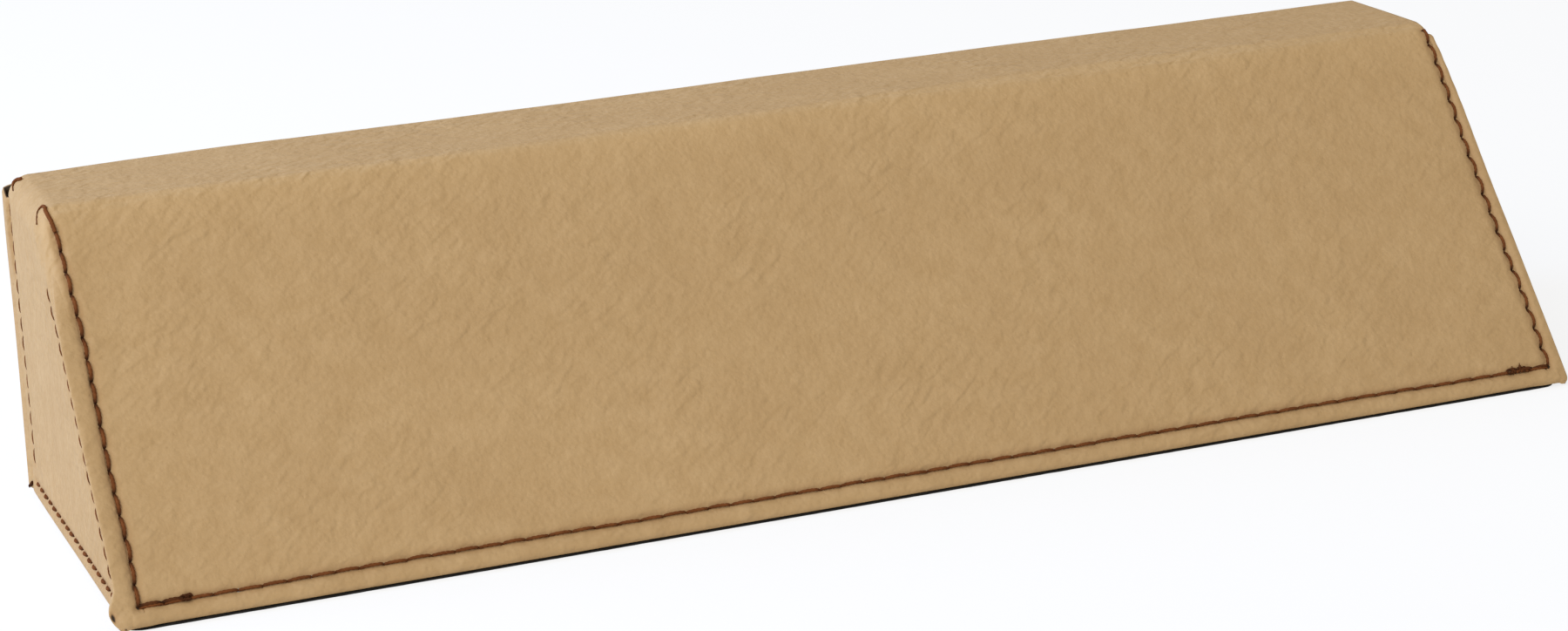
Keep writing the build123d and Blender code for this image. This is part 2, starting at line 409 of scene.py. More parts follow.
def quads(rows, columns, closed=False):
    """Faces of a grid of vertices, row by row. A closed grid's last column joins its first."""
    row = np.arange(rows - 1)[:, None]
    column = np.arange(columns if closed else columns - 1)[None]
    beside = (column + 1) % columns
    corners = (row * columns + column, row * columns + beside)
    corners += ((row + 1) * columns + beside, (row + 1) * columns + column)
    return np.stack(np.broadcast_arrays(*corners), axis=-1).reshape(-1, 4)


def capped(rows, columns):
    """Faces of a closed grid with a face over its first row and one over its last."""
    faces = list(quads(rows, columns, closed=True))
    return faces + [np.arange(columns)[::-1], (rows - 1) * columns + np.arange(columns)]


def make_piece(name, points, faces, values, material, slot, *nodes):
    mesh = bpy.data.meshes.new(name)
    mesh.from_pydata((np.asarray(points) * MM).tolist(), [], [list(map(int, f)) for f in faces])
    mesh.polygons.foreach_set("use_smooth", [True] * len(mesh.polygons))
    mesh.materials.append(material)
    for title, column in zip(("seam", "stretch"), np.asarray(values, np.float32).T):
        attribute = mesh.attributes.new(title, "FLOAT", "POINT")
        attribute.data.foreach_set("value", np.ascontiguousarray(column))
    mesh.update()
    piece = bpy.data.objects.new(name, mesh)
    bpy.context.scene.collection.objects.link(piece)
    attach(piece, "root")
    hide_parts(*nodes)


class Parts:
    """Vertices and faces gathered for one mesh."""

    def __init__(self):
        self.points, self.faces, self.values, self.count = [], [], [], 0

    def add(self, points, faces, near_seam=0.0, stretch=0.0):
        points = np.asarray(points, float).reshape(-1, 3)
        self.faces += [np.asarray(f) + self.count for f in faces]
        self.points.append(points)
        self.values.append(np.zeros((len(points), 2)))
        self.values[-1][:, 0] = np.reshape(near_seam, -1)
        self.values[-1][:, 1] = np.reshape(stretch, -1)
        self.count += len(points)

    def all(self):
        return np.concatenate(self.points), self.faces, np.concatenate(self.values)


# The cover

EDGE, EDGE_COLUMNS = 9.0, 17  # the margin beside an edge that has closer columns
EDGE_STEP, STEP = 0.5, 0.75  # apart along the front and back, in the margin and between
END_COLUMNS = 32  # between the margins of an end
ABOVE_FOLD = 2.0  # how far above the foot the walls are past the fold
FOLD_ROWS = 8
UNDER = (1.0, 2.0, 3.0)  # how far in from the fold the rows underneath lie


def spaced(length, margin, near, apart):
    """Places from 0 to a length, closer together within the margin at both ends."""
    edge = np.linspace(0, margin, round(margin / near) + 1)
    middle = np.linspace(margin, length - margin, round((length - 2 * margin) / apart) + 1)
    return np.concatenate([edge, middle[1:-1], length - edge[::-1]])


def wall_heights():
    """Shares of the height where rows lie, closer together at the hem and at the upper bend."""
    hem = np.arange(0, 8, 0.42)
    middle = np.linspace(8.2, HEIGHT - 10, 46)
    bend = np.linspace(HEIGHT - 9.4, HEIGHT - 1.5, 18)
    heights = np.concatenate([hem, middle, bend])
    return heights / heights[-1]


def cover_skin(parts):
    xs = spaced(2 * HALF, EDGE, EDGE_STEP, STEP) - HALF
    edge = np.linspace(0, EDGE, EDGE_COLUMNS)
    share = np.linspace(0, 1, END_COLUMNS)[1:-1]
    # Across an end, a column keeps its distance from the front or back, or its share between
    towards = np.concatenate([edge * 0, share, edge * 0 + 1])
    offset = np.concatenate([edge, EDGE - 2 * EDGE * share, -edge[::-1]])
    inner, inner_offset = towards[1:-1], offset[1:-1]
    end_x = np.full(len(inner), HALF)
    ring_x = np.concatenate([xs, end_x, xs[::-1], -end_x])
    ring_to = np.concatenate([xs * 0, inner, xs * 0 + 1, inner[::-1]])
    ring_off = np.concatenate([xs * 0, inner_offset, xs * 0, inner_offset[::-1]])

    def sharp(z):
        y = (1 - ring_to) * front_y(z) + ring_to * BACK + ring_off
        return np.stack(np.broadcast_arrays(ring_x, y, z), axis=-1)

    # The walls, from the fold at the foot to the edge of the top
    upright = rounded(sharp(np.full(len(ring_x), FOOT + ABOVE_FOLD)))[1]
    low = FOOT + FOLD * (1 + upright[:, 2])
    flat_walls = sharp(low + (TOP - low) * wall_heights()[:, None])
    walls, wall_normals = rounded(flat_walls)

    # The fold at the foot and the flat underneath, as far as the base covers it
    first, first_normal = walls[0], wall_normals[0]
    centre = first - FOLD * first_normal
    down = np.array([0.0, 0.0, -1.0])
    turn = np.arccos(np.clip(first_normal @ down, -1, 1))[:, None]
    shares = np.linspace(0, 1, FOLD_ROWS)[1:, None, None]
    from_wall, from_under = np.sin((1 - shares) * turn), np.sin(shares * turn)
    fold_normals = (from_wall * first_normal + from_under * down) / np.sin(turn)
    fold = centre + FOLD * fold_normals
    level = first_normal * [1, 1, 0]
    under = fold[-1] - np.array(UNDER)[:, None, None] * unit(level)
    rows = np.concatenate([under[::-1], fold[::-1], walls])
    rows[..., 2] = np.maximum(rows[..., 2], FOOT)
    under_normals = np.broadcast_to(down, under.shape)
    normals = np.concatenate([under_normals, fold_normals[::-1], wall_normals])
    # Painted highlight along the front's upper edge, on the walls and on the top
    wall_highlight = np.zeros(rows.shape[:2])
    wall_highlight[len(under) + len(fold) :] = highlight_band_at(flat_walls)

    top_x, top_y = np.meshgrid(xs, (1 - towards) * front_y(TOP) + towards * BACK + offset)
    flat_top = np.stack([top_x, top_y, np.full(top_x.shape, TOP)], axis=-1)
    top, top_normals = rounded(flat_top)
    for points, directions, stretch, closed in (
        (rows, normals, wall_highlight, True),
        (top, top_normals, highlight_band_at(flat_top), False),
    ):
        move, near_seam = sewn(points)
        move = move + uneven(points) + hem_swell(points, directions)
        if closed:
            # Underneath it stays flat
            move[: len(under)] = 0
            move[len(under) : len(under) + len(fold)] *= np.linspace(0, 1, len(fold))[:, None]
        faces = quads(*points.shape[:2], closed=closed)
        parts.add(points + move[..., None] * directions, faces, near_seam, stretch)
        if closed:
            parts.faces.append(np.arange(len(ring_x))[::-1])


# The section of the roll along a corner, from under the front or back to under the end.
# u is the first number less the second times the seam's distance from the corner on the face,
# and v is the third less the fourth times END_SEAM.
ROLL = [
    (-0.6, 1.0, -1.3, 0.0), (-0.15, 1.0, -0.65, 0.0), (0.25, 1.0, -0.15, 0.0),
    (0.0, 0.72, 0.1, 0.0), (0.0, 0.44, 0.27, 0.0), (0.0, 0.16, 0.3, 0.0),
    (-0.03, 0.0, 0.08, 0.0), (-0.18, 0.0, 0.0, 0.16), (-0.45, 0.0, 0.0, 0.36),
    (-0.8, 0.0, 0.0, 0.58), (-1.1, 0.0, 0.0, 0.8), (-1.4, 0.0, 0.0, 0.97),
    (-1.75, 0.0, 0.0, 1.1), (-2.3, 0.0, 0.0, 1.18),
]
# How far below the top each roll ends, how steeply it is cut there, and how plump it is
ROLL_ENDS = {
    "front_left": (3.0, 0.0, 0.0),
    "front_right": (1.0, 0.5, 0.4),
    "back_left": (2.8, 0.3, 0.0),
    "back_right": (2.0, 0.5, 0.0),
}
ROLL_ROWS = (1.0, 0.05, 0.0035, 0.011)  # shares of its length, closer together at its ends
ROLL_START, ROLL_START_FACE = 0.5, 1.2  # how far above the foot it starts, and more on the face
ROLL_CUT = 0.6  # v less u where its cut end is as high as an uncut one
ROLL_FOOT = 0.95  # rounding of its lower end
ROLL_RIM, ROLL_RIM_HEIGHT = 0.18, 0.5  # rounding of its upper end
ROLL_SEWN = 0.3  # how much of a seam's valley it follows
PLUMPER, PLUMP_HEIGHT = 1.4, 45.0  # how much plumper it gets towards the foot, and from where
PLUMP_V, PLUMP_WIDTH = -0.4, 0.9  # where across it that is
MARGIN_V, MARGIN_FADE = 0.46, 2.5  # it runs on into the folded margin below the hem
# The front's left roll comes away from the end at its foot, where the sheet has parted in a slit,
# and sinks into the bend at its top
LOOSE_FOOT, LOOSE_LEVEL, LOOSE_WIDTH = 1.65, 2.8, 2.7
SLIT_ACROSS, SLIT_WIDTH, SLIT_HEIGHT = 0.1, 0.07, 1.0
# How deep the slit is drawn in, and the painted shade in it
SLIT_DEPTH, SLIT_SHADE = 0.45, 2.2
SUNK, SUNK_FROM, SUNK_FADE = 0.45, 26.0, 24.0
# The front's right roll leans in and falls back with the sheet near the top
LEAN, LEAN_FROM = 0.45, 18.0
ROLL_FALL = 0.76
# The back's left roll leans in, stands off the end near its open mouth, and gets painted shade
# towards its top
BACK_LEAN = 0.5
MOUTH_ACROSS = (0, 0.16, 0.36, 0.58, 0.8, 0.97, 1.1)
MOUTH = (0, 0.3, 0.65, 1.05, 1.3, 0.7, 0.3)
MOUTH_FROM, MOUTH_FADE = 26.0, 20.0
BACK_ROLL_SHADE = 0.6
INSIDE_SHADE = 2.0  # painted shade inside a roll, as a value of the seam attribute


def roll_section(corner, level, high):
    """The outside of a roll at each level, and how far across the face each point lies."""
    gap, _, plump = ROLL_ENDS[corner.name]
    first, by_face, second, by_end = through(ROLL, 3).T
    u = first - by_face * corner.seam_away(level)
    v = second - by_end * END_SEAM + 0 * u
    plump = plump * (1 + PLUMPER * smooth((PLUMP_HEIGHT - level) / PLUMP_HEIGHT))
    u = u + plump * hump((v - PLUMP_V) / PLUMP_WIDTH) * (by_face < 0.1)
    margin = smooth((corner.seam_low - level) / MARGIN_FADE) * smooth(by_face / 0.4)
    v = v + margin * (MARGIN_V - v)
    if corner.name == "front_left":
        near_end = smooth((0.5 - by_face) / 0.5)
        u = u + LOOSE_FOOT * hump((level - LOOSE_LEVEL) / LOOSE_WIDTH) * near_end
    elif corner.name == "front_right":
        u = u - LEAN * smooth((level - high + LEAN_FROM) / LEAN_FROM) * (1 - by_face)
        v = v - ROLL_FALL * np.clip(1 - (high + gap - level) / FALL_DOWN, 0, 1) ** 2
    elif corner.name == "back_left":
        mouth = np.interp(by_end, MOUTH_ACROSS, MOUTH)
        u = u - BACK_LEAN * level / high + mouth * smooth((level - high + MOUTH_FROM) / MOUTH_FADE)
    return np.stack([u, v], axis=-1), by_face


def roll_side(corner, section, depth, level, high, shares):
    """The outer side of a roll, or the inner one at a depth, and how near a seam its points are, or
    the painted shade inside.
    """
    outer, by_face, out = section
    cut = ROLL_ENDS[corner.name][1]
    u, v = np.moveaxis(outer - depth * out, -1, 0)
    start = corner.climb(0.0, v) + ROLL_START + ROLL_START_FACE * by_face
    end = high + cut * (v - u) - ROLL_CUT * cut
    w = start + (end - start) * shares
    low = np.clip(1 - (w - start) * corner.w[2] / ROLL_FOOT, 0, 1)
    sink = ROLL_FOOT * (1 - np.sqrt(1 - low**2)) * (0.5 if depth else 1)
    sink = sink + (-ROLL_RIM if depth else ROLL_RIM) * smooth(1 - (end - w) / ROLL_RIM_HEIGHT)
    points = corner.at(u - sink * out[..., 0], v - sink * out[..., 1], w)
    if corner.name == "front_left":
        place, normal = rounded(points)
        fade = smooth((level - high + SUNK_FROM) / SUNK_FADE)[..., None]
        points = points + fade * (place - (SUNK + depth) * normal - points)
    move, near_seam = sewn(points, ROLL_SEWN)
    # The inside gets painted shade
    if depth:
        move, near_seam = move * 0, near_seam * 0 + INSIDE_SHADE
    elif corner.name == "front_left":
        # The slit is drawn in and given painted shade
        across, up = (by_face - SLIT_ACROSS) / SLIT_WIDTH, (w - LOOSE_LEVEL) / SLIT_HEIGHT
        slit = np.exp(-(across**2) - up**2)
        move, near_seam = move - SLIT_DEPTH * slit, near_seam + SLIT_SHADE * slit
    elif corner.name == "back_left":
        # Painted shade on the back's left roll, more towards its top
        near_seam = np.maximum(near_seam, BACK_ROLL_SHADE * smooth(level / high))
    directions = out[..., :1] * corner.u + out[..., 1:] * corner.v
    return points + (move + uneven(points))[..., None] * directions, near_seam


def welt(parts, corner):
    """The hollow roll of leatherette along a corner, its feet sunk beside the seams."""
    high = corner.climb(HEIGHT) - ROLL_ENDS[corner.name][0]
    shares = spaced(*ROLL_ROWS)[:, None]
    level = shares * high
    outer, by_face = roll_section(corner, level, high)
    ahead = unit(np.gradient(outer, axis=1))
    section = outer, by_face, np.stack([-ahead[..., 1], ahead[..., 0]], axis=-1)
    outside, near_outside = roll_side(corner, section, 0.0, level, high, shares)
    inside, near_inside = roll_side(corner, section, LEATHER, level, high, shares)
    points = np.concatenate([outside, inside[:, ::-1]], axis=1)
    near_seam = np.concatenate([near_outside, near_inside[:, ::-1]], axis=1)
    rows, columns = points.shape[:2]
    faces = list(quads(rows, columns, closed=True))
    for row in (0, rows - 1):
        for k in range(columns // 2 - 1):
            faces.append(row * columns + np.array([k, k + 1, columns - 2 - k, columns - 1 - k]))
    if corner.side * (1 if corner.front else -1) < 0:
        faces = [face[::-1] for face in faces]
    parts.add(points, faces, near_seam)


# Threads

PLY_AWAY, PLY_SIZE = 0.46, 0.54  # shares of a thread's radius: its plies' place and their radius
PLY_TURN = 2 * pi / 3
ANY_WAY = (0.31, 0.57, 0.76)  # a direction along which no thread runs
TWIST = 2.4  # length in which the plies turn once
HOLE_DEPTH = 0.8  # how far a stitch's ends dive into the sheet
STRAY = (0.06, 0.04, 0.05, 0.03)  # how far a stitch strays along, aside, askew and out
STITCH_POINTS = 15
TACK_RADIUS, TACK_OVERLAP = 0.33, 2.1
# The knot: the radius of its thread, the painted shade on it, and how often it turns
KNOT_RADIUS, KNOT_SHADE, KNOT_TURNS = 0.2, 0.7, 5


def tube(path, radius, turn=0.0, sides=12):
    """A three-ply thread along a path, its strands turned by so much at each point."""
    path = np.asarray(path, float)
    radius = np.broadcast_to(radius, len(path))
    turn = np.broadcast_to(turn, len(path))
    tangents = unit(np.gradient(path, axis=0))
    normal = np.cross(tangents[0], ANY_WAY)
    around = np.arange(sides) * 2 * pi / sides
    points = []
    for place, tangent, size, twist in zip(path, tangents, radius, turn):
        normal = unit(normal - (normal @ tangent) * tangent)
        other = np.cross(tangent, normal)
        lobe = (around - twist + PLY_TURN / 2) % PLY_TURN - PLY_TURN / 2
        bulge = np.sqrt(PLY_SIZE**2 - (PLY_AWAY * np.sin(lobe)) ** 2)
        reach = PLY_AWAY * np.cos(lobe) + bulge
        ring = np.cos(around)[:, None] * normal + np.sin(around)[:, None] * other
        points.append(place + size * reach[:, None] * ring)
    return np.concatenate(points), capped(len(points), sides)


def stitch(
    seam, first, rng, radius=0.3, span=1.0, dive=0.33, bow=0.0, lift=0.0,
    length=1.0, across=0.0, dark=1.0,
):
    """One stitch from hole to hole, bowed to one side between them, and the painted shade on it,
    darkest at its holes.
    """
    t = np.linspace(0, 1, STITCH_POINTS)
    arch = np.sin(pi * t)
    jitter = np.clip(rng.normal(0, 1, 4), -2, 2)
    along_by, aside_by, askew_by, out_by = np.array(STRAY) * jitter
    along = first + (0.5 + span * (t - 0.5)) * seam.pitch * length + along_by * arch
    side = across + bow * (arch**0.7 - 0.5) + aside_by + askew_by * (t - 0.5)
    out = lift - HOLE_DEPTH * (1 - arch**dive) + out_by * arch
    size = radius * (0.75 + 0.25 * arch**0.5)
    turn = 2 * pi * t * seam.pitch / TWIST + jitter[0]
    points, faces = tube(seam.at(along, side, out), size, turn)
    return points, faces, np.repeat(dark * (1 - smooth(arch / 0.95)), len(points) // len(t))


def row_of_stitches(seam, rng, **kind):
    parts = Parts()
    for k in range(seam.count):
        parts.add(*stitch(seam, k * seam.pitch, rng, **kind))
    return parts


def back_tack(parts, seam, rng, from_start, reach, knot):
    """The second pass of stitches at an end of a seam, and the knot that ends it, so long."""
    start = -0.2 if from_start else seam.length - reach + 0.2
    length = reach / TACK_OVERLAP / seam.pitch
    for k in range(2):
        place = start + (k + 0.05) * reach / TACK_OVERLAP
        points, faces, dark = stitch(
            seam, place, rng, TACK_RADIUS, dive=0.25, bow=0.1, lift=0.45, length=length, across=0.3
        )
        # Painted shade on the second pass, half at least, and more at its holes
        parts.add(points, faces, 0.5 + 0.5 * dark)
    end = start + reach if from_start else start
    for k in range(KNOT_TURNS):
        t = np.linspace(0, 2 * pi, STITCH_POINTS)
        along = end + knot * (0.25 * k - 0.5) + 0.45 * np.cos(t)
        across = 0.25 + 0.42 * np.sin(t + 0.7 * k)
        out = 0.4 + 0.2 * np.sin(2 * t + k)
        parts.add(*tube(seam.at(along, across, out), KNOT_RADIUS, t * 1.5), KNOT_SHADE)


def loose_thread(parts, points, radius, end, dark=0.0):
    """A short free length of thread through a few points, thinner at its end, with so much painted
    shade on it.
    """
    path = through(points, 6)
    size = np.interp(np.linspace(0, 1, len(path)), [0, 0.55, 0.75, 1], [1, 0.9, end, end])
    parts.add(*tube(path, radius * size, 1.2 * np.arange(len(path))), dark)


# Materials


class Nodes:
    """Makes and links the nodes of a material or a world."""

    def __init__(self, owner):
        owner.use_nodes = True
        self.tree = owner.node_tree

    def put(self, socket, value):
        """Link a node's output to a socket, or set the socket to a plain value."""
        if isinstance(value, bpy.types.NodeSocket):
            self.tree.links.new(value, socket)
        else:
            socket.default_value = value

    def add(self, kind, inputs=None, **settings):
        """The outputs of a new node."""
        made = self.tree.nodes.new("ShaderNode" + kind)
        for key, value in settings.items():
            setattr(made, key, value)
        for key, value in (inputs or {}).items():
            self.put(made.inputs[key], value)
        return made.outputs

    def place(self):
        return self.add("TexCoord")["Object"]

    def noise(self, at, scale, detail=3.0, rough=0.5, distortion=0.0):
        inputs = {"Vector": at, "Scale": scale, "Detail": detail}
        inputs |= {"Roughness": rough, "Distortion": distortion}
        return self.add("TexNoise", inputs)["Fac"]

    def attribute(self, name):
        return self.add("Attribute", attribute_name=name)["Fac"]

    def mixed(self, factor, a, b):
        return self.add("Mix", {0: factor, 6: a, 7: b}, data_type="RGBA")[2]

    def ranged(self, value, low, high, to_low=0.0, to_high=1.0):
        return self.add("MapRange", {0: value, 1: low, 2: high, 3: to_low, 4: to_high})[0]

    def maths(self, operation, a, b):
        return self.add("Math", {0: a, 1: b}, operation=operation)[0]

    def bump(self, height, strength, distance):
        inputs = {"Height": height, "Strength": strength, "Distance": distance}
        return self.add("Bump", inputs)[0]

    def seen(self):
        """1 for camera, glossy and transmitted rays, and 0 for the others."""
        rays = self.add("LightPath")
        seen = rays["Is Camera Ray"]
        for ray in ("Is Glossy Ray", "Is Transmission Ray"):
            seen = self.maths("MAXIMUM", seen, rays[ray])
        return seen


def new_material(name):
    material = bpy.data.materials.new(name)
    nodes = Nodes(material)
    return material, nodes, nodes.tree.nodes["Principled BSDF"]


def finish_material(nodes, shader, colour, rough, gloss, bump):
    nodes.put(shader.inputs["Base Color"], colour)
    nodes.put(shader.inputs["Roughness"], rough)
    shader.inputs["Specular IOR Level"].default_value = gloss
    nodes.put(shader.inputs["Normal"], bump)


PALE, DEEP, CLOUD = (0.516, 0.339, 0.164, 1), (0.464, 0.296, 0.135, 1), (0.444, 0.28, 0.128, 1)
# Grain, and the painted highlight along the front's upper edge
GRAIN, HIGHLIGHT = (0.37, 0.23, 0.105, 1), (0.57, 0.375, 0.175, 1)
# Painted shade: rust-brown beside the seams and on the back's left roll, near black inside the
# rolls and in the slit
SEAM_SHADE, SHADE = (0.36, 0.185, 0.08, 1), (0.05, 0.034, 0.022, 1)
WRINKLE_SLANT, WRINKLE_STRETCH = 36, 2.3  # degrees on the front, and length to width


def leatherette_material():
    material, nodes, shader = new_material("leatherette")
    place = nodes.place()
    cloud = nodes.noise(place, 64.0)
    mottle = nodes.noise(place, 240.0, 4.0, 0.6)
    grain = nodes.noise(place, 1300.0, 2.0)
    colour = nodes.mixed(nodes.ranged(mottle, 0.3, 0.7), DEEP, PALE)
    colour = nodes.mixed(nodes.ranged(cloud, 0.35, 0.65, 0.0, 0.4), colour, CLOUD)
    colour = nodes.mixed(nodes.ranged(grain, 0.35, 0.65, 0.0, 0.13), colour, GRAIN)
    # Painted highlight along the front's upper edge
    highlight_share = nodes.maths("MULTIPLY", nodes.attribute("stretch"), 0.36)
    colour = nodes.mixed(highlight_share, colour, HIGHLIGHT)
    # Painted shade beside the threads, in rust-brown blotches, and near black inside the rolls and
    # in the slit
    near_seam = nodes.attribute("seam")
    blotch = nodes.ranged(nodes.noise(place, 260.0), 0.3, 0.7, 0.15, 0.45)
    colour = nodes.mixed(nodes.maths("MULTIPLY", near_seam, blotch), colour, SEAM_SHADE)
    # Painted shade inside the rolls and in the slit
    colour = nodes.mixed(nodes.ranged(near_seam, 1.0, 1.6), colour, SHADE)
    rough = nodes.ranged(grain, 0.3, 0.7, 0.62, 0.75)

    # Fine pebbled grain, with patches of short slanting wrinkles
    turned = Matrix.Rotation(SLOPE, 3, "X") @ Matrix.Rotation(radians(WRINKLE_SLANT), 3, "Z")
    inputs = {"Vector": place, "Rotation": turned.to_euler(), "Scale": (WRINKLE_STRETCH, 1.0, 1.0)}
    slant = nodes.add("Mapping", inputs, vector_type="TEXTURE")[0]
    wrinkle = nodes.noise(slant, 560.0, 0.0, 0.5, 0.5)
    patch = nodes.ranged(nodes.noise(place, 48.0, 2.0), 0.38, 0.62, 0.2, 0.95)
    inputs = {"Vector": place, "Scale": 1150.0}
    cells = nodes.add("TexVoronoi", inputs, feature="SMOOTH_F1")["Distance"]
    height = nodes.maths("MULTIPLY", wrinkle, patch)
    for layer, share in (
        (cells, 0.22),
        (nodes.noise(place, 1100.0, 2.0), 0.18),
        (nodes.noise(place, 560.0, 2.0), 0.45),
        (mottle, 0.4),
    ):
        height = nodes.maths("ADD", height, nodes.maths("MULTIPLY", layer, share))
    finish_material(nodes, shader, colour, rough, 0.06, nodes.bump(height, 0.92, 0.0005))
    return material


THREAD_DARK, THREAD_PALE = (0.125, 0.038, 0.0105, 1), (0.19, 0.063, 0.018, 1)
# Fibres, and the painted shade at holes, knots and loose ends
FIBRE, HOLE_SHADE = (0.25, 0.1, 0.033, 1), (0.02, 0.0075, 0.0035, 1)


def thread_material():
    material, nodes, shader = new_material("thread")
    place = nodes.place()
    shade = nodes.noise(place, 700.0)
    fibre = nodes.noise(place, 6000.0, 2.0)
    colour = nodes.mixed(nodes.ranged(shade, 0.3, 0.7), THREAD_DARK, THREAD_PALE)
    colour = nodes.mixed(nodes.ranged(fibre, 0.5, 0.75, 0.0, 0.3), colour, FIBRE)
    # Painted shade where the thread dives into its holes, on knots and on loose ends
    colour = nodes.mixed(nodes.attribute("seam"), colour, HOLE_SHADE)
    rough = nodes.ranged(fibre, 0.3, 0.7, 0.7, 0.85)
    finish_material(nodes, shader, colour, rough, 0.05, nodes.bump(fibre, 0.4, 0.00006))
    return material


def pressed_board(name, dark, pale, fleck, rough):
    """Fibrous board or felt: two tones with flecks."""
    material, nodes, shader = new_material(name)
    place = nodes.place()
    tone = nodes.noise(place, 320.0, 5.0)
    speck = nodes.noise(place, 2400.0, 2.0)
    colour = nodes.mixed(nodes.ranged(tone, 0.3, 0.7), (*dark, 1), (*pale, 1))
    colour = nodes.mixed(nodes.ranged(speck, 0.6, 0.72, 0.0, 0.6), colour, (*fleck, 1))
    rough = nodes.ranged(tone, 0.3, 0.7, rough - 0.08, rough + 0.05)
    finish_material(nodes, shader, colour, rough, 0.2, nodes.bump(speck, 0.5, 0.00012))
    return material


leatherette = leatherette_material()
thread = thread_material()
felt = pressed_board(
    "felt", (0.010, 0.009, 0.008), (0.02, 0.018, 0.015), (0.035, 0.03, 0.026), 0.93
)
base_board = pressed_board(
    "base_board", (0.014, 0.012, 0.010), (0.026, 0.022, 0.018), (0.04, 0.034, 0.028), 0.8
)
greyboard = pressed_board(
    "greyboard", (0.29, 0.27, 0.24), (0.38, 0.36, 0.32), (0.14, 0.12, 0.1), 0.85
)

# The pieces

cover = Parts()
cover_skin(cover)
for corner in CORNERS:
    welt(cover, corner)
make_piece("cover", *weld(*cover.all()), leatherette, "leatherette", "leatherette_cover")

# All four rows beside the corners were sewn the same way, so their stitches bow to the same hand
FACE_STITCHES = {-1: {"radius": 0.36, "bow": -0.22}, 1: {"radius": 0.29, "bow": -0.5}}
# On the left the last stitch is drawn over the corner of the top, through these places from it
CORNER_LOOPS = {
    "front_left": [
        (3.3, -2.8, -3.4), (3.0, -1.5, -1.8), (2.55, -0.45, -0.5), (2.45, 0.8, 0), (2.7, 1.6, 0),
        (2.5, 3.05, 0), (1.2, 3.1, 0), (0, 2.2, -0.3), (0, 0.3, -2.2),
    ],
    "back_left": [
        (2.9, -5.8, 0), (2.2, -4.6, 0), (1.2, -4.4, 0), (0.3, -5.2, -0.2), (0, -6.8, -0.8),
    ],
}
LOOP_LIFT = 0.14  # how far over the sheet they lie
# A dark thread end under the foot of the back's left roll, standing in for the shade there, with
# painted shade on it; as u, v and w
SHADE_THREAD_END = ((-0.3, -0.2, 0.0, -0.1), (-2.0, -1.2, -0.4, 0.2), (2.2, 1.6, 1.1, 0.7))
# Frayed ends at the right knot: how far before the seam's end, how high, and which way they lean
FRAYED_ENDS = ((5.7, 1.6, -0.5), (5.9, 1.0, 0.6), (7.4, 1.2, -0.4), (7.7, 0.9, 0.5))


def stitching(seam, made):
    name = seam.name.replace("_thread", "_stitching")
    make_piece(name, *made.all(), thread, "thread", seam.name)


rng = np.random.default_rng(11)
for seam, corner in zip(FACE_SEAMS, CORNERS):
    made = row_of_stitches(seam, rng, dive=0.4, lift=0.36, **FACE_STITCHES[corner.side])
    if corner.name == "back_left":
        loose_thread(made, corner.at(*SHADE_THREAD_END), radius=0.34, end=0.4, dark=0.75)
    if corner.name in CORNER_LOOPS:
        top_corner = np.array([-HALF, front_y(TOP) if corner.front else BACK, TOP])
        place, normal = rounded(np.array(CORNER_LOOPS[corner.name], float) + top_corner)
        path = place + (uneven(place) + LOOP_LIFT)[:, None] * normal
        loose_thread(made, path, radius=0.4, end=0.3)
    stitching(seam, made)
for seam in END_SEAMS:
    made = row_of_stitches(seam, rng, radius=0.115, span=0.95, dive=0.22, lift=0.1)
    stitching(seam, made)
for seam in HEM_SEAMS:
    if seam.name.startswith(("left", "right")):
        made = row_of_stitches(seam, rng, radius=0.34, span=0.6, dive=0.5, lift=0.15)
    else:
        made = row_of_stitches(seam, rng, radius=0.3, dive=0.2, bow=0.04, lift=0.36, dark=0.35)
    if seam.name == "front_hem_thread":
        back_tack(made, seam, rng, from_start=True, reach=7.8, knot=1.0)
        back_tack(made, seam, rng, from_start=False, reach=7.0, knot=3.0)
        for back, rise, lean in FRAYED_ENDS:
            along = seam.length - back + lean * np.array([1.0, 0.4, 0.0])
            path = seam.at(along, rise * np.array([0.0, 0.6, 1.0]), np.array([0.4, 0.5, 0.4]))
            # The frayed ends get painted shade
            loose_thread(made, path, radius=0.24, end=0.3, dark=0.5)
    stitching(seam, made)

FELT_FORWARD, FELT_ASIDE = 1.8, 2.2  # how much further than the CAD felt it reaches
FELT_BACK_LEFT = 0.9  # how far its left edge runs in at the back
FELT_CORNER = 3.0
FELT_STEP = 1.2  # apart along its edge
FELT_FRAY, FELT_EDGE = 0.06, 0.3  # how far its edge strays, and how far it is rounded


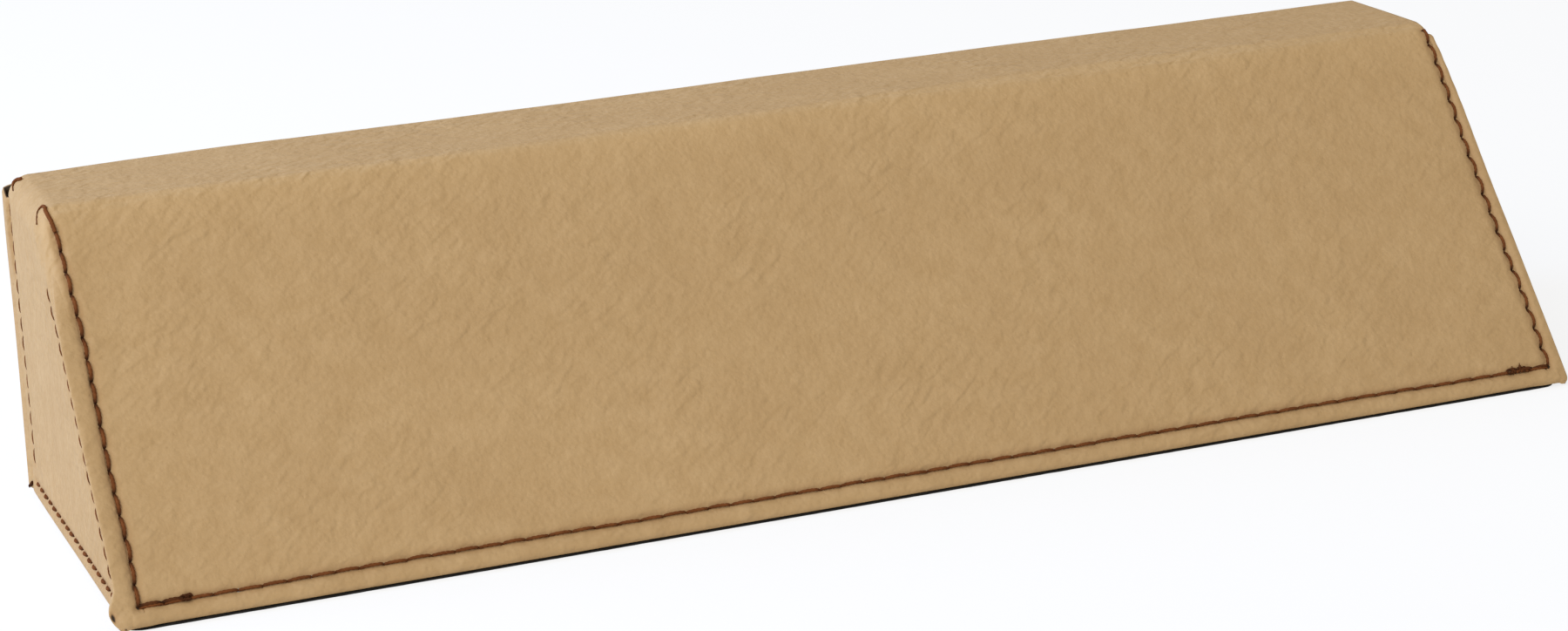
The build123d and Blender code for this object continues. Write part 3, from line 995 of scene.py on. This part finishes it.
def felt_slab():
    """The felt under the base: a rounded sheet with a soft, slightly frayed edge."""
    low, high = felt_low - [0, FELT_FORWARD, 0], felt_high + [FELT_ASIDE, 0, 0]
    turn = np.linspace(0, pi / 2, 10)
    right, front_left, back_left = high[0], -high[0], low[0] + FELT_BACK_LEFT
    plan, out = [], []
    for k, (edge, sx, sy) in enumerate(
        ((right, 1, 1), (back_left, -1, 1), (front_left, -1, -1), (right, 1, -1))
    ):
        angle = turn + k * pi / 2
        ring = np.stack([np.cos(angle), np.sin(angle)], axis=-1)
        y = high[1] - FELT_CORNER if sy > 0 else low[1] + FELT_CORNER
        plan.append(np.array([edge - sx * FELT_CORNER, y]) + FELT_CORNER * ring)
        out.append(ring)
    plan, out = np.concatenate(plan), np.concatenate(out)
    ahead, out_ahead = np.roll(plan, -1, axis=0), np.roll(out, -1, axis=0)
    fine_plan, fine_out = [], []
    for a, b, na, nb in zip(plan, ahead, out, out_ahead):
        steps = max(int(np.linalg.norm(b - a) / FELT_STEP), 1)
        t = np.arange(steps)[:, None] / steps
        fine_plan.append(a + (b - a) * t)
        fine_out.append(unit(na + (nb - na) * t))
    plan, out = np.concatenate(fine_plan), np.concatenate(fine_out)
    fray = FELT_FRAY * rng.normal(0, 1, len(plan))[:, None]
    thick = high[2] - low[2]
    rows = []
    for angle in np.linspace(-pi / 2, pi / 2, 7):
        inward = FELT_EDGE * (1 - cos(angle)) - fray * cos(angle)
        z = low[2] + thick * (0.5 + 0.5 * sin(angle))
        rows.append(np.concatenate([plan - inward * out, np.full((len(plan), 1), z)], axis=1))
    rows = np.array(rows)
    return rows.reshape(-1, 3), capped(*rows.shape[:2]), np.zeros((rows.size // 3, 2))


make_piece("felt", *felt_slab(), felt, "felt", "base_felt")

# CAD pieces that keep their shapes
for name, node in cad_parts.items():
    if name.endswith("_board"):
        node.data.materials.clear()
        node.data.materials.append(base_board if name == "base_board" else greyboard)
    elif name.endswith("_hem_bobbin_thread"):
        node.data.materials.clear()
        node.data.materials.append(thread)

# The stage. Sizes are in metres here.

FLOOR = 4.0
PAPER, WHITE = (0.94, 0.94, 0.935, 1), (1, 1, 1, 1)
WHITE_SHARE = 0.78  # how much of the paper the camera sees as plain white
STUDIO = 0.55  # strength of the light from all round

floor_mesh = bpy.data.meshes.new("floor")
corners = [(-FLOOR, -FLOOR, 0), (FLOOR, -FLOOR, 0), (FLOOR, FLOOR, 0), (-FLOOR, FLOOR, 0)]
floor_mesh.from_pydata(corners, [], [(0, 1, 2, 3)])
floor = bpy.data.objects.new("floor", floor_mesh)
bpy.context.scene.collection.objects.link(floor)
paper, nodes, shader = new_material("paper")
shader.inputs["Base Color"].default_value = PAPER
shader.inputs["Roughness"].default_value = 0.9
shader.inputs["Specular IOR Level"].default_value = 0.1
# The camera sees most of the paper as plain white, which keeps the shadow and lights nothing
white = nodes.add("Emission", {"Color": WHITE, "Strength": 1.0})[0]
share = nodes.maths("MULTIPLY", nodes.seen(), WHITE_SHARE)
both = nodes.add("MixShader", {0: share, 1: shader.outputs[0], 2: white})[0]
nodes.put(nodes.tree.nodes["Material Output"].inputs["Surface"], both)
floor_mesh.materials.append(paper)

world = bpy.data.worlds.new("studio")
bpy.context.scene.world = world
nodes = Nodes(world)
background = nodes.tree.nodes["Background"]
nodes.put(background.inputs["Strength"], nodes.ranged(nodes.seen(), 0.0, 1.0, STUDIO, 1.0))
background.inputs["Color"].default_value = WHITE


def lamp(name, energy, place, wide, high, colour=(1, 1, 1)):
    """An area lamp turned to the middle of the plate's foot."""
    light = bpy.data.lights.new(name, "AREA")
    light.energy = energy
    light.color = colour
    light.shape = "ELLIPSE"
    light.size, light.size_y = wide, high
    made = bpy.data.objects.new(name, light)
    made.location = place
    made.rotation_mode = "QUATERNION"
    made.rotation_quaternion = (-made.location).to_track_quat("-Z", "Y")
    made.visible_camera = False
    bpy.context.scene.collection.objects.link(made)


lamp("key", 20.9, (-1.2, -0.9, 1.32), 1.6, 1.6)
lamp("window", 2.08, (-0.58, 0.28, 0.36), 0.5, 0.3, (0.75, 1.06, 1.8))

# The camera that was fitted to the photographed edges
CAMERA_PLACE = Vector((-231.68, -573.24, 207.16)) * MM
CAMERA_RIGHT = Vector((0.92514, -0.37785, -0.03662))
CAMERA_AHEAD = Vector((0.35273, 0.89126, -0.28502))
SENSOR, LENS = 36.0, 83.48  # in millimetres

camera_data = bpy.data.cameras.new("camera")
camera_data.sensor_width = SENSOR
camera_data.lens = LENS
camera_data.clip_start = 0.01
camera = bpy.data.objects.new("camera", camera_data)
above = CAMERA_RIGHT.cross(CAMERA_AHEAD)
pose = Matrix((CAMERA_RIGHT, above, -CAMERA_AHEAD)).transposed().to_4x4()
pose.translation = CAMERA_PLACE
camera.matrix_world = pose
bpy.context.scene.collection.objects.link(camera)
bpy.context.scene.camera = camera

view = bpy.context.scene.view_settings
view.view_transform = "Standard"
